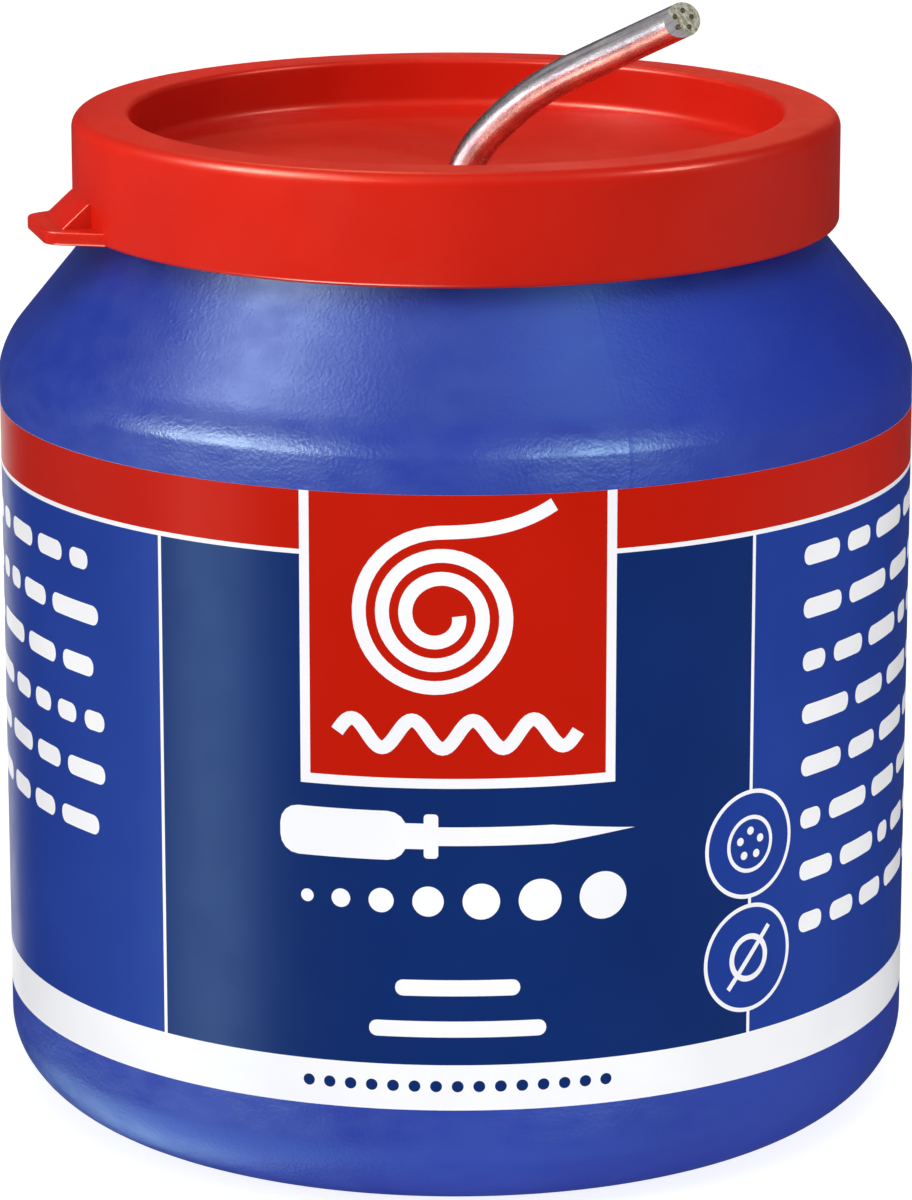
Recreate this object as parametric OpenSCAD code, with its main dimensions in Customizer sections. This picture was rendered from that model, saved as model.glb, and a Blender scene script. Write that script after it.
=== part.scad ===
// Solder wire dispenser: a blow-moulded jar with a wrap label and a snap lid, holding a coil of
// resin-core solder whose inner end rises on the axis and leaves through a hole in the lid.
// Millimetres, +Z up. The origin is the middle of the ring that the jar stands on.
// The front of the label faces -Y.

/* [Jar] */
// Outer radius of the straight barrel
body_r = 40; // [36:0.5:60]
// Wall of the barrel and shoulder
body_wall = 1.5; // [1:0.1:2.5]
// Height of the crease where the barrel ends and the shoulder starts
barrel_h = 65.7; // [50:0.1:120]
// Radius of the heel, where the barrel starts to draw in
heel_r = 6; // [3:0.1:8]
// How far the heel turns in before the wider bend under it takes over
heel_angle = 30; // [20:1:60]
// Radius of the bend from the heel to the ring that the jar stands on
foot_r = 8.5; // [7:0.1:12]
// Thickness of the base
base_t = 1.6; // [1:0.1:3]
// Height of the push-up in the middle of the base
push_up_h = 1; // [0.5:0.1:2]
// Width of the flat ring that the jar stands on
stand_ring_w = 8; // [3:0.5:12]
// How far the shoulder turns in at the crease
crease_angle = 11; // [0:1:15]
// Radius of the bend from the crease to the slope of the shoulder
shoulder_r = 8; // [5:0.1:16]
// Slope of the shoulder, away from the vertical
shoulder_angle = 39; // [30:1:55]
// Outer radius of the neck
neck_r = 31; // [26:0.1:34]
// Wall of the neck
neck_wall = 1.2; // [0.8:0.1:2]
// Height of the neck above the shoulder
neck_h = 8; // [7.5:0.1:14]
// How far the snap beads stand out of the neck and into the lid
snap_bead = 0.3; // [0.1:0.05:0.3]
// Height of the neck's bead below the mouth
neck_bead_drop = 3.6; // [2.5:0.1:5]

/* [Label] */
// Thickness of the wrap label, let into the barrel
label_t = 0.15; // [0.1:0.05:0.4]
// Height of the label's lower edge above the table
label_low_z = 10.1; // [9:0.1:16]
// Distance from the label's upper edge to the crease
label_top_gap = 3; // [0.5:0.1:10]
// Width of the gap where the label's ends meet at the back
label_seam_w = 0.6; // [0.2:0.1:3]

/* [Lid] */
// Gap between the neck and the lid's skirt, beads aside
skirt_gap = 0.9; // [0.9:0.1:1.2]
// Wall of the skirt
skirt_wall = 1.5; // [1:0.1:2.2]
// Height of the whole lid
lid_h = 9.45; // [8.5:0.05:10]
// Thickness of the rim that sits on the mouth
rim_t = 1.5; // [1:0.1:2.5]
// Radius of the rim's outer edge
rim_edge_r = 1.2; // [0.4:0.1:1.4]
// Radius of the rim's inner edge
rim_inner_edge_r = 0.5; // [0.2:0.1:0.9]
// Gap between the mouth and the plug that goes into it
plug_gap = 0.36; // [0.3:0.02:0.6]
// Wall of the plug
plug_wall = 1; // [0.8:0.1:1.6]
// Depth of the recess at its edge
recess_depth = 4.3; // [3:0.1:7]
// Fillet between the plug's wall and the floor of the recess
recess_fillet_r = 0.9; // [0.4:0.1:1.5]
// How much lower the floor is in the middle
dish_depth = 1.5; // [0.5:0.1:2.5]
// Radius of the flat middle of the floor
dish_flat_r = 7; // [5:0.5:14]
// Thickness of the floor
floor_t = 1.2; // [0.8:0.1:2]
// Height of the lid's bead above the bottom of its skirt
skirt_bead_rise = 1.6; // [1:0.1:2.2]

/* [Lid tab] */
// How far the tab stands out of the skirt
tab_len = 3.9; // [2:0.1:6]
// Thickness of the tab
tab_t = 1.2; // [0.8:0.1:2]
// Width of the tab at its tip
tab_tip_w = 8.7; // [5:0.1:12]
// Width of the tab at the skirt
tab_root_w = 13.8; // [12:0.1:18]
// Direction of the tab, turned from -X towards the front
tab_turn = 15.2; // [0:1:60]
// Width of the wedge that stiffens the tab
wedge_w = 7.6; // [4:0.1:8.5]
// Length of the wedge out of the skirt
wedge_len = 2.3; // [1:0.1:3]
// Height of the wedge above the tab
wedge_h = 2.1; // [1:0.1:4]

/* [Solder wire] */
// Diameter of the solder wire
wire_d = 3; // [2:0.1:3.4]
// Smallest gap between the wire and the edge of the lid's hole
hole_gap = 0.4; // [0.3:0.05:1]
// Depth below the underside of the lid's floor at which the wire starts to bend
bend_drop = 2.6; // [1.5:0.1:5]
// Upright length of the free end below its first bend
upright_len = 1; // [0.5:0.1:3]
// Radius of the first bend
low_bend_r = 10.6; // [8:0.1:14]
// Slope of the wire after the first bend, away from the vertical
low_bend_angle = 43; // [30:1:50]
// Radius of the second bend
high_bend_r = 30.8; // [20:0.1:40]
// Slope of the wire after the second bend, away from the vertical
high_bend_angle = 64; // [55:1:75]
// Length of the straight run to the middle of the cut end
end_run = 11.7; // [6:0.1:14]
// Direction that the free end leans in, turned from +X towards the front
lean_turn = 31; // [0:1:90]
// Tilt of the broad face that the cutter left
cut_tilt = 26; // [0:1:35]
// Tilt of the small face beside it
nick_tilt = 42; // [38:1:60]
// Distance of the small face's edge from the wire's middle
nick_offset = 0.3; // [0.2:0.05:1]
// Side of the wire that the small face is on, turned from its underside
nick_turn = 80; // [0:5:180]
// Number of flux cores in the wire
flux_count = 5; // [3:1:7]
// Diameter of a flux core
flux_d = 0.44; // [0.3:0.02:0.5]
// Radius of the circle that the flux cores lie on
flux_ring_r = 0.78; // [0.7:0.02:0.9]
// How far the flux lies back from the cut face
flux_recess = 0.12; // [0.05:0.01:0.4]
// Length of the cores that is modelled, back from the cut
flux_len = 6; // [2:0.5:8]

/* [Coil] */
// Number of layers that the wire is piled in
coil_layers = 4; // [2:2:4]
// Largest number of loops in a layer
layer_loops = 6; // [2:1:6]
// Gap between neighbouring turns
turn_gap = 0.45; // [0.45:0.05:1]
// Gap between the coil and the base that it lies on
coil_seat_gap = 0.3; // [0.2:0.05:0.5]
// How much smaller the coil is than the mouth that it goes in by
mouth_margin = 0.6; // [0.4:0.1:4]
// Smallest radius that the innermost loop may have
core_r = 6.5; // [6:0.5:12]
// Height that the inner end climbs from the top layer to the upright wire
lead_rise = 14; // [12:1:24]

/* [Hidden] */

$fn = 96;
cut_size = 20;          // side of the blocks that cut faces are made with
eps = 0.01;             // overrun of a cutting block past the face that it opens
bead_r = 2 * snap_bead; // radius that the snap beads are rounded to
tab_overlap = 1;        // how far the tab reaches into the skirt's wall
coil_rings = 24;        // rings of the coil's tube in one loop
coil_sides = 6;         // sides of the coil's tube
lead_rings = 18;        // rings along the lead from the top layer to the axis
end_sides = 24;         // sides of the free end's tube
bend_rings = 8;         // rings of each bend of the free end
lead_turns = 0.75;      // turns that the lead makes on its way to the axis
joint_len = 0.2;        // straight length on either side of a face where two stretches of wire meet

wire_r = wire_d / 2;

// Jar: the middles of its bends, and the cone where the shoulder runs into the neck. A surface that
// lies a wall further in has the same middles.
function away(angle) = [cos(angle), sin(angle)];
foot_mid = [body_r - heel_r - (foot_r - heel_r) * cos(heel_angle), foot_r];
heel_mid = foot_mid + (foot_r - heel_r) * away(-heel_angle);
shoulder_mid = [body_r, barrel_h] - shoulder_r * away(crease_angle);
function bend_end(wall) = shoulder_mid + (shoulder_r - wall) * away(shoulder_angle);
function cone_top_z(wall, r) = bend_end(wall).y + (bend_end(wall).x - r) / tan(shoulder_angle);
mouth_r = neck_r - neck_wall;
neck_base_z = cone_top_z(0, neck_r);
mouth_z = neck_base_z + neck_h;
push_up_r = foot_mid.x - stand_ring_w;
seat_z = base_t + push_up_h;
label_high_z = barrel_h - label_top_gap;

// Lid
skirt_in_r = neck_r + skirt_gap;
lid_r = skirt_in_r + skirt_wall;
plug_r = mouth_r - plug_gap;
recess_r = plug_r - plug_wall;
lid_top_z = mouth_z + rim_t;
lid_low_z = lid_top_z - lid_h;
floor_edge_z = lid_top_z - recess_depth;
floor_mid_z = floor_edge_z - dish_depth;
fillet_drop = recess_fillet_r * dish_depth / (recess_r - dish_flat_r);

// Free end: where it starts, and how far it leans out where it passes the lid's floor
bend_start_z = floor_mid_z - floor_t - bend_drop;
pass_angle = asin((floor_mid_z - bend_start_z) / low_bend_r);
hole_r = low_bend_r * (1 - cos(pass_angle)) + wire_r / cos(pass_angle) + hole_gap;
riser_high_z = bend_start_z - upright_len;

// Coil: radii and heights of the middle of the wire
turn_pitch = wire_d + turn_gap;
coil_out_r = mouth_r - mouth_margin - wire_r;
loops = min(layer_loops, floor((coil_out_r - core_r) / turn_pitch));
coil_in_r = coil_out_r - loops * turn_pitch;
coil_low_z = seat_z + coil_seat_gap + wire_r;
coil_top_z = coil_low_z + (coil_layers - 1) * turn_pitch;
riser_low_z = coil_top_z + lead_rise;

// The coil runs out and in by turns; its phase counts loops from the bottom layer's inner end.
function spiral_r(phase) = let (in_pair = phase % (2 * loops))
    in_pair <= loops ? coil_in_r + in_pair * turn_pitch : coil_out_r - (in_pair - loops) * turn_pitch;
// Half a turn about each reversal carries the wire up to the next layer.
function climb(phase, reversal) = let (t = min(1, max(0, (phase - reversal) * 2 + 0.5)))
    t * t * (3 - 2 * t);
function coil_z(phase, layer = 1) = layer >= coil_layers ? 0
    : turn_pitch * climb(phase, layer * loops) + coil_z(phase, layer + 1);
function coil_point(phase) = [spiral_r(phase) * cos(360 * phase), spiral_r(phase) * sin(360 * phase),
                              coil_low_z + coil_z(phase)];

// From the last loop the lead winds on in to the axis and upright. Coil, lead and riser meet on flat
// faces, with a short straight length on either side of each.
coil_turns = coil_layers * loops;
coil_way = unit([-turn_pitch, 2 * PI * coil_in_r, 0]);
coil_end = coil_point(coil_turns) + joint_len * coil_way;
lead_high_z = riser_low_z - joint_len;
lead_draw = turn_pitch * lead_turns / coil_in_r;
function lead_point(t) = let (r = coil_in_r * pow(1 - t, 2) * (1 + (2 - lead_draw) * t),
                              a = 360 * lead_turns * t)
    [r * cos(a), r * sin(a), coil_top_z + (lead_high_z - coil_top_z) * t * t * (2 - t)];

coil_path = concat([for (i = [0 : coil_turns * coil_rings]) coil_point(i / coil_rings)], [coil_end]);
lead_path = concat([coil_end, coil_end + joint_len * coil_way],
                   [for (i = [1 : lead_rings]) lead_point(i / lead_rings)], [[0, 0, riser_low_z]]);

// The free end bends towards +X in its own frame, whose origin is where the first bend starts.
function bend_point(a) = a <= low_bend_angle
    ? low_bend_r * [1 - cos(a), 0, sin(a)]
    : bend_point(low_bend_angle) + high_bend_r * [cos(low_bend_angle) - cos(a), 0,
                                                  sin(a) - sin(low_bend_angle)];
run_way = [sin(high_bend_angle), 0, cos(high_bend_angle)];
run_start = bend_point(high_bend_angle);
high_turn = high_bend_angle - low_bend_angle;
end_path = concat([[0, 0, -upright_len]],
                  [for (i = [0 : bend_rings]) bend_point(low_bend_angle * i / bend_rings)],
                  [for (i = [1 : bend_rings]) bend_point(low_bend_angle + high_turn * i / bend_rings)],
                  [run_start + (end_run + wire_d) * run_way]);

// Tube along a path: each ring stands square to the path and keeps the direction of the ring before.
function unit(v) = v / norm(v);
function path_way(p, i) = unit(p[min(i + 1, len(p) - 1)] - p[max(i - 1, 0)]);
function carried(side, way) = unit(side - way * (side * way));
function ring(middle, way, side, r, sides) = let (other = cross(way, side))
    [for (k = [0 : sides - 1]) let (a = 360 * k / sides) middle + r * (cos(a) * side + sin(a) * other)];
function tube_rings(p, r, sides, side_0) =
    [for (i = 0, side = carried(side_0, path_way(p, 0)); i < len(p);
          i = i + 1, side = i < len(p) ? carried(side, path_way(p, i)) : side)
        each ring(p[i], path_way(p, i), side, r, sides)];

module tube(p, r, sides, side_0) {
    rings = len(p);
    walls = [for (i = [0 : rings - 2], k = [0 : sides - 1])
        let (a = i * sides + k, b = i * sides + (k + 1) % sides)
            each [[a, b, b + sides], [a, b + sides, a + sides]]];
    first = [for (k = [1 : sides - 2]) [0, k + 1, k]];
    last = [for (k = [1 : sides - 2]) [0, k, k + 1] + (rings - 1) * sides * [1, 1, 1]];
    polyhedron(tube_rings(p, r, sides, side_0), concat(first, walls, last));
}

// Least gap from the wire's surface to itself, over points more than half a loop apart on the path
near_rings = coil_rings / 2;
function least_gap(p) = min([for (i = [0 : len(p) - 1], j = [i + near_rings : 1 : len(p) - 1])
    norm(p[i] - p[j])]) - wire_d;

// Band of a half section from the axis to a bend, between two heights
module bend_band(middle, r, low_z, high_z) {
    translate([0, low_z]) square([middle.x, high_z - low_z]);
    intersection() {
        translate(middle) circle(r);
        translate([0, low_z]) square([2 * body_r, high_z - low_z]);
    }
}

// Half section of the jar: the foot, heel, barrel, shoulder and neck, drawn in by a wall
module jar_section(wall, low_z, neck, high_z) {
    r = body_r - wall;
    foot_top_z = heel_mid.y - (heel_r - wall) * sin(heel_angle);
    bend_band(foot_mid, foot_r - wall, low_z, foot_top_z);
    bend_band(heel_mid, heel_r - wall, foot_top_z, heel_mid.y);
    translate([0, heel_mid.y]) square([r, shoulder_mid.y - heel_mid.y]);
    intersection() {
        translate(shoulder_mid) circle(shoulder_r - wall);
        translate([0, heel_mid.y]) square([r, high_z - heel_mid.y]);
    }
    polygon([[0, heel_mid.y], [shoulder_mid.x, heel_mid.y], bend_end(wall),
             [neck, cone_top_z(wall, neck)], [0, cone_top_z(wall, neck)]]);
    translate([0, heel_mid.y]) square([neck, high_z - heel_mid.y]);
}

module jar() {
    color("royalblue") rotate_extrude() difference() {
        union() {
            jar_section(0, 0, neck_r, mouth_z);
            // snap bead round the neck
            translate([neck_r - snap_bead, mouth_z - neck_bead_drop]) circle(bead_r);
        }
        difference() {
            jar_section(body_wall, base_t, mouth_r, mouth_z + eps);
            square([push_up_r + base_t, seat_z]);
        }
        translate([-eps, -eps]) square([push_up_r + eps, push_up_h + eps]);
        translate([body_r - label_t, label_low_z]) square([label_t + eps, label_high_z - label_low_z]);
    }
}

module label() {
    color("darkblue") difference() {
        rotate_extrude() translate([body_r - label_t, label_low_z])
            square([label_t, label_high_z - label_low_z]);
        translate([-label_seam_w / 2, 0, 0]) cube([label_seam_w, 2 * body_r, barrel_h]);
    }
}

// The part of a square corner outside its fillet: rounds an outer edge as a cut, an inner one as a fill
module corner(r) {
    difference() {
        translate([-eps, -eps]) square(r + eps);
        translate([r, r]) circle(r);
    }
}

module lid_section() {
    difference() {
        union() {
            translate([skirt_in_r, lid_low_z]) square([skirt_wall, lid_h]);
            translate([recess_r, mouth_z]) square([lid_r - recess_r, rim_t]);
            translate([recess_r, floor_edge_z - floor_t])
                square([plug_wall, lid_top_z - floor_edge_z + floor_t]);
            polygon([[hole_r, floor_mid_z], [dish_flat_r, floor_mid_z], [recess_r, floor_edge_z],
                     [recess_r, floor_edge_z - floor_t], [dish_flat_r, floor_mid_z - floor_t],
                     [hole_r, floor_mid_z - floor_t]]);
            translate([skirt_in_r + snap_bead, lid_low_z + skirt_bead_rise]) circle(bead_r);
            translate([recess_r, floor_edge_z - fillet_drop]) mirror([1, 0]) corner(recess_fillet_r);
        }
        translate([lid_r, lid_top_z]) rotate(180) corner(rim_edge_r);
        translate([recess_r, lid_top_z]) rotate(-90) corner(rim_inner_edge_r);
    }
}

module lid() {
    color("red") {
        rotate_extrude() lid_section();
        rotate(180 + tab_turn) lid_tab();
    }
}

module lid_tab() {
    root = lid_r - tab_overlap;
    tip = lid_r + tab_len;
    translate([0, 0, lid_low_z]) linear_extrude(tab_t)
        polygon([[root, -tab_root_w / 2], [tip, -tab_tip_w / 2],
                 [tip, tab_tip_w / 2], [root, tab_root_w / 2]]);
    translate([0, wedge_w / 2, lid_low_z + tab_t]) rotate([90, 0, 0]) linear_extrude(wedge_w)
        polygon([[root, 0], [lid_r + wedge_len, 0], [lid_r, wedge_h], [root, wedge_h]]);
}

module solder_coil() {
    color("silver") tube(coil_path, wire_r, coil_sides, [0, 0, 1]);
    echo(loops_in_coil = coil_turns, least_gap_mm = least_gap(concat(coil_path, lead_path)));
}

module wire_lead() {
    color("silver") tube(lead_path, wire_r, coil_sides, [0, 0, 1]);
}

module wire_riser() {
    color("silver") translate([0, 0, riser_low_z]) cylinder(d = wire_d, h = riser_high_z - riser_low_z);
}

// Places its children at the start of the straight run, with the wire's way along +Z
module at_end_run() {
    rotate(-lean_turn) translate([0, 0, bend_start_z]) translate(run_start)
        rotate([0, high_bend_angle, 0]) children();
}

// Everything beyond the cutter's two faces, both of which look to the front
module cut_off(back) {
    translate([0, 0, end_run - back]) {
        rotate([cut_tilt, 0, 0]) translate([-cut_size / 2, -cut_size / 2, 0]) cube(cut_size);
        rotate(-nick_turn) translate([nick_offset, 0, 0]) rotate([0, nick_tilt, 0])
            translate([-cut_size / 2, -cut_size / 2, 0]) cube(cut_size);
    }
}

module wire_free_end() {
    color("silver") difference() {
        rotate(-lean_turn) translate([0, 0, bend_start_z]) tube(end_path, wire_r, end_sides, [0, 1, 0]);
        at_end_run() {
            cut_off(0);
            flux_strands(end_run + wire_d);
        }
    }
}

// Flux cores from flux_len behind the cut up to the given height on the straight run
module flux_strands(high_z) {
    low_z = end_run - flux_len;
    for (i = [0 : flux_count - 1])
        rotate(360 * i / flux_count) translate([0, flux_ring_r, low_z])
            cylinder(d = flux_d, h = high_z - low_z);
}

module flux_cores() {
    color("olive") at_end_run() difference() {
        flux_strands(end_run + wire_d);
        cut_off(flux_recess);
    }
}

jar();
label();
lid();
solder_coil();
wire_lead();
wire_riser();
wire_free_end();
flux_cores();
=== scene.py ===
import math
import random

import bmesh
import bpy
from mathutils import Matrix, Vector, noise
from mathutils.geometry import delaunay_2d_cdt


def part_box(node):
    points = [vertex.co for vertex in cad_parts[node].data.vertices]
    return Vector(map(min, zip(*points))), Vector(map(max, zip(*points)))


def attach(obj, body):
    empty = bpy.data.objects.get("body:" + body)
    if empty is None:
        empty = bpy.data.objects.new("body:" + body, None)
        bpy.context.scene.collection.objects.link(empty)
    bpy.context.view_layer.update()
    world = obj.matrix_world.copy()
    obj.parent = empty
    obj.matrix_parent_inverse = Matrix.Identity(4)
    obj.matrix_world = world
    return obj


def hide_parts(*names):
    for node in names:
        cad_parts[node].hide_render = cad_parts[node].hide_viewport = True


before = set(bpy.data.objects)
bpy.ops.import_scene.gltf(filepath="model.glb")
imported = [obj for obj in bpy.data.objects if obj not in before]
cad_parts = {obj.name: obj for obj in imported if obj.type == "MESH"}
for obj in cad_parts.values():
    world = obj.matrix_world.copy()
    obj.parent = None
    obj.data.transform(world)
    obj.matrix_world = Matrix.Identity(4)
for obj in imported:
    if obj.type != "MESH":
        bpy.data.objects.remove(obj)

# Lengths of the part are in millimetres here, and Blender gets them in metres. Those of the camera, the
# lights and the floor are in metres.
MM = 0.001
scene = bpy.context.scene
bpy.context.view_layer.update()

# ---------------------------------------------------------------- sizes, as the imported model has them

BODY_R, BODY_WALL = 40.0, 1.5
HEEL_R, HEEL_ANGLE, FOOT_R, RING_W = 6.0, 30, 8.5, 8.0
BASE_T, PUSH_UP_H = 1.6, 1.0
CREASE_Z, CREASE_ANGLE, SHOULDER_R, SHOULDER_ANGLE = 65.7, 11, 8.0, 39
NECK_R, NECK_WALL, NECK_H, NECK_BEAD_DROP = 31.0, 1.2, 8.0, 3.6
BEAD, BEAD_R = 0.3, 0.6
LABEL_T, LABEL_LOW, LABEL_HIGH, LABEL_SEAM = 0.15, 10.1, 62.7, 0.6
SKIRT_GAP, SKIRT_WALL, LID_H, RIM_T = 0.9, 1.5, 9.45, 1.5
PLUG_GAP, PLUG_WALL, RECESS_DEPTH, DISH_DEPTH = 0.36, 1.0, 4.3, 1.5
FLOOR_T, DISH_R, HOLE_R, SKIRT_BEAD_RISE = 1.2, 7.0, 2.711, 1.6


def spoke(middle, radius, angle):
    """Point of a half section at an angle in degrees from the outward direction."""
    return (middle[0] + radius * math.cos(math.radians(angle)),
            middle[1] + radius * math.sin(math.radians(angle)))


HEEL_OUT = spoke((0, 0), FOOT_R - HEEL_R, -HEEL_ANGLE)
FOOT_MID = (BODY_R - HEEL_R - HEEL_OUT[0], FOOT_R)
HEEL_MID = (BODY_R - HEEL_R, FOOT_R + HEEL_OUT[1])
PUSH_UP_R = FOOT_MID[0] - RING_W
SEAT_R, SEAT_Z = PUSH_UP_R + BASE_T, PUSH_UP_H + BASE_T
SHOULDER_MID = spoke((BODY_R, CREASE_Z), -SHOULDER_R, CREASE_ANGLE)
SLOPE_START = spoke(SHOULDER_MID, SHOULDER_R, SHOULDER_ANGLE)
NECK_Z = SLOPE_START[1] + (SLOPE_START[0] - NECK_R) / math.tan(math.radians(SHOULDER_ANGLE))
MOUTH_R, MOUTH_Z = NECK_R - NECK_WALL, NECK_Z + NECK_H
SKIRT_IN_R = NECK_R + SKIRT_GAP
LID_R, LID_TOP = SKIRT_IN_R + SKIRT_WALL, MOUTH_Z + RIM_T
LID_LOW, PLUG_R = LID_TOP - LID_H, MOUTH_R - PLUG_GAP
RECESS_R = PLUG_R - PLUG_WALL
FLOOR_EDGE, FLOOR_MID = LID_TOP - RECESS_DEPTH, LID_TOP - RECESS_DEPTH - DISH_DEPTH
TAB_LEN, TAB_T, TAB_TIP_W, TAB_ROOT_W, TAB_TURN = 3.9, 1.2, 8.7, 13.8, 15.2
WEDGE_W, WEDGE_LEN, WEDGE_H = 7.6, 2.3, 2.1

WIRE_R, BEND_DROP, UPRIGHT = 1.5, 2.6, 1.0
LOW_BEND_R, LOW_BEND, HIGH_BEND_R, HIGH_BEND = 10.6, 43, 30.8, 64
END_RUN, LEAN_TURN = 11.7, 31
CUT_TILT, NICK_TILT, NICK_TURN, NICK_OFFSET = 26, 42, 80, 0.3
FLUX_COUNT, FLUX_RING_R, FLUX_D = 5, 0.78, 0.44
BEND_START = FLOOR_MID - FLOOR_T - BEND_DROP

COIL_LAYERS, COIL_LOOPS, TURN_GAP, COIL_SEAT_GAP, MOUTH_MARGIN = 4, 6, 0.45, 0.3, 0.6
LEAD_TURNS, LEAD_RISE = 0.75, 13.8
COIL_PITCH = 2 * WIRE_R + TURN_GAP
COIL_OUT_R = MOUTH_R - MOUTH_MARGIN - WIRE_R
COIL_IN_R = COIL_OUT_R - COIL_LOOPS * COIL_PITCH
COIL_LOW = SEAT_Z + COIL_SEAT_GAP + WIRE_R


# ---------------------------------------------------------------- camera and light

def look_from(obj, place, target):
    """Puts obj at place, in metres, with its -Z axis towards target."""
    obj.location = place
    obj.rotation_mode = "QUATERNION"
    obj.rotation_quaternion = (Vector(target) - Vector(place)).to_track_quat("-Z", "Y")


# The camera was fitted to the lid's rim, the label's edges and the base in the photo.
FRAME_H, FOCAL_PX, SENSOR = 1200, 5433, 36.0
CAMERA_PLACE, CAMERA_PITCH = (0, -0.4676, 0.1637), 14.39
NEAR, FAR = 0.01, 20

lens = bpy.data.cameras.new("camera")
lens.sensor_width = SENSOR
lens.lens = FOCAL_PX * SENSOR / FRAME_H
lens.clip_start, lens.clip_end = NEAR, FAR
camera = bpy.data.objects.new("camera", lens)
camera.location = CAMERA_PLACE
camera.rotation_euler = (math.radians(90 - CAMERA_PITCH), 0, 0)
scene.collection.objects.link(camera)
scene.camera = camera


LIGHT_DISTANCE = 0.9
LIGHT_TARGET = Vector((0, 0, 0.05))
LID, SHELL, LABEL = ("lid_moulding",), ("jar_shell",), ("label_film",)
WIRE = ("free_end_wire", "riser_wire", "coil_wire")
COOL, PALE, BEIGE, WARM = (0.55, 0.88, 1), (0.8, 0.95, 1), (1, 0.8, 0.55), (1, 0.6, 0.35)
LIT = {}                         # light to the names of the only pieces that it lights


def toward(azimuth, elevation):
    """Direction at azimuth, from the front towards +X, and elevation in degrees."""
    a, e = math.radians(azimuth), math.radians(elevation)
    return Vector((math.sin(a) * math.cos(e), -math.cos(a) * math.cos(e), math.sin(e)))


def studio_light(name, azimuth, elevation, size, radiance, shows, only=(), colour=(1, 1, 1)):
    """A soft box that faces the jar, with its size in metres and its radiance as a share of white's.

    It shows either in the diffuse light or in the reflections, and on all pieces or only on some.
    """
    data = bpy.data.lights.new(name, "AREA")
    data.shape = "RECTANGLE"
    data.size, data.size_y = size
    data.energy = radiance * math.pi * size[0] * size[1]
    data.color = colour
    light = bpy.data.objects.new(name, data)
    look_from(light, LIGHT_TARGET + toward(azimuth, elevation) * LIGHT_DISTANCE, LIGHT_TARGET)
    light.visible_camera = False
    light.visible_diffuse = shows == "diffuse"
    light.visible_glossy = shows == "reflection"
    scene.collection.objects.link(light)
    if only:
        LIT[light] = only


# Name, azimuth and elevation in degrees, size, radiance, where it shows, on which pieces, and colour.
studio_light("key", -50, 28, (0.4, 0.4), 2.5, "diffuse")
studio_light("top", 8, 70, (0.9, 0.9), 1.9, "diffuse")
studio_light("lid_key", -56, 20, (0.3, 0.3), 17.5, "diffuse", LID)
studio_light("lid_top", -95, 40, (0.3, 0.3), 5, "diffuse", LID)
studio_light("lid_back", 172, 12, (0.3, 0.3), 66, "diffuse", LID, WARM)
studio_light("lid_fill", 80, 18, (0.3, 0.3), 1.5, "diffuse", LID)
studio_light("label_fill", 55, 20, (0.4, 0.4), 0.8, "diffuse", LABEL)
studio_light("lid_left_sheen", -76, 48, (0.3, 0.3), 110, "reflection", LID)
studio_light("lid_rim_sheen", -51, 44, (0.5, 0.1), 62, "reflection", LID)
studio_light("lid_right_sheen", 85, 46, (0.12, 0.2), 90, "reflection", LID)
studio_light("lid_edge_sheen", -42, -52, (0.5, 0.2), 120, "reflection", LID)
studio_light("lid_back_sheen", -172, 44, (0.1, 0.1), 26, "reflection", LID, WARM)
studio_light("jar_left_sheen", -74, 53, (0.42, 0.36), 18, "reflection", SHELL)
studio_light("jar_right_sheen", 52, 58, (0.1, 0.36), 16, "reflection", SHELL, COOL)
studio_light("crease_left_sheen", -55, 8.5, (0.62, 0.13), 96, "reflection", SHELL)
studio_light("crease_right_sheen", 33, 9.5, (0.36, 0.1), 118, "reflection", SHELL, PALE)
studio_light("base_left_sheen", -85, -48, (1.6, 0.7), 3, "reflection", SHELL, COOL)
studio_light("base_right_sheen", 20, -46, (1.2, 0.4), 1.2, "reflection", SHELL, COOL)
studio_light("label_sheen", -62, -15, (0.3, 0.5), 8, "reflection", LABEL)
studio_light("label_edge_sheen", -160, -15, (0.3, 0.5), 1.2, "reflection", LABEL)
studio_light("wire_sheen", -62, 4, (1.2, 0.2), 2.6, "reflection", WIRE)
studio_light("wire_low_sheen", -55, -36, (0.6, 0.3), 1.1, "reflection", WIRE, BEIGE)
studio_light("wire_top_sheen", -150, 58, (1.2, 1), 0.4, "reflection", WIRE)


def studio_world(front, back, fade=(-0.2, 0.6)):
    """A white room, with strength front at the camera's side and back behind the object.

    The one fades into the other between two values of the direction's Y.
    """
    world = bpy.data.worlds.new("studio")
    world.use_nodes = True
    tree = world.node_tree
    way = tree.nodes.new("ShaderNodeTexCoord")
    parts = tree.nodes.new("ShaderNodeSeparateXYZ")
    strength = tree.nodes.new("ShaderNodeMapRange")
    tree.links.new(way.outputs["Generated"], parts.inputs[0])
    tree.links.new(parts.outputs["Y"], strength.inputs["Value"])
    for socket, value in zip(strength.inputs[1:5], (*fade, front, back)):
        socket.default_value = value
    tree.nodes["Background"].inputs["Color"].default_value = (1, 1, 1, 1)
    tree.links.new(strength.outputs["Result"], tree.nodes["Background"].inputs["Strength"])
    return world


scene.world = studio_world(front=0.5, back=0.06)
scene.view_settings.view_transform = "Standard"


# ---------------------------------------------------------------- materials

def srgb(r, g, b):
    """Linear colour of an sRGB colour given as 0 to 255."""
    line = [c / 255 for c in (r, g, b)]
    return tuple(c / 12.92 if c <= 0.04045 else ((c + 0.055) / 1.055) ** 2.4 for c in line) + (1,)


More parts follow.
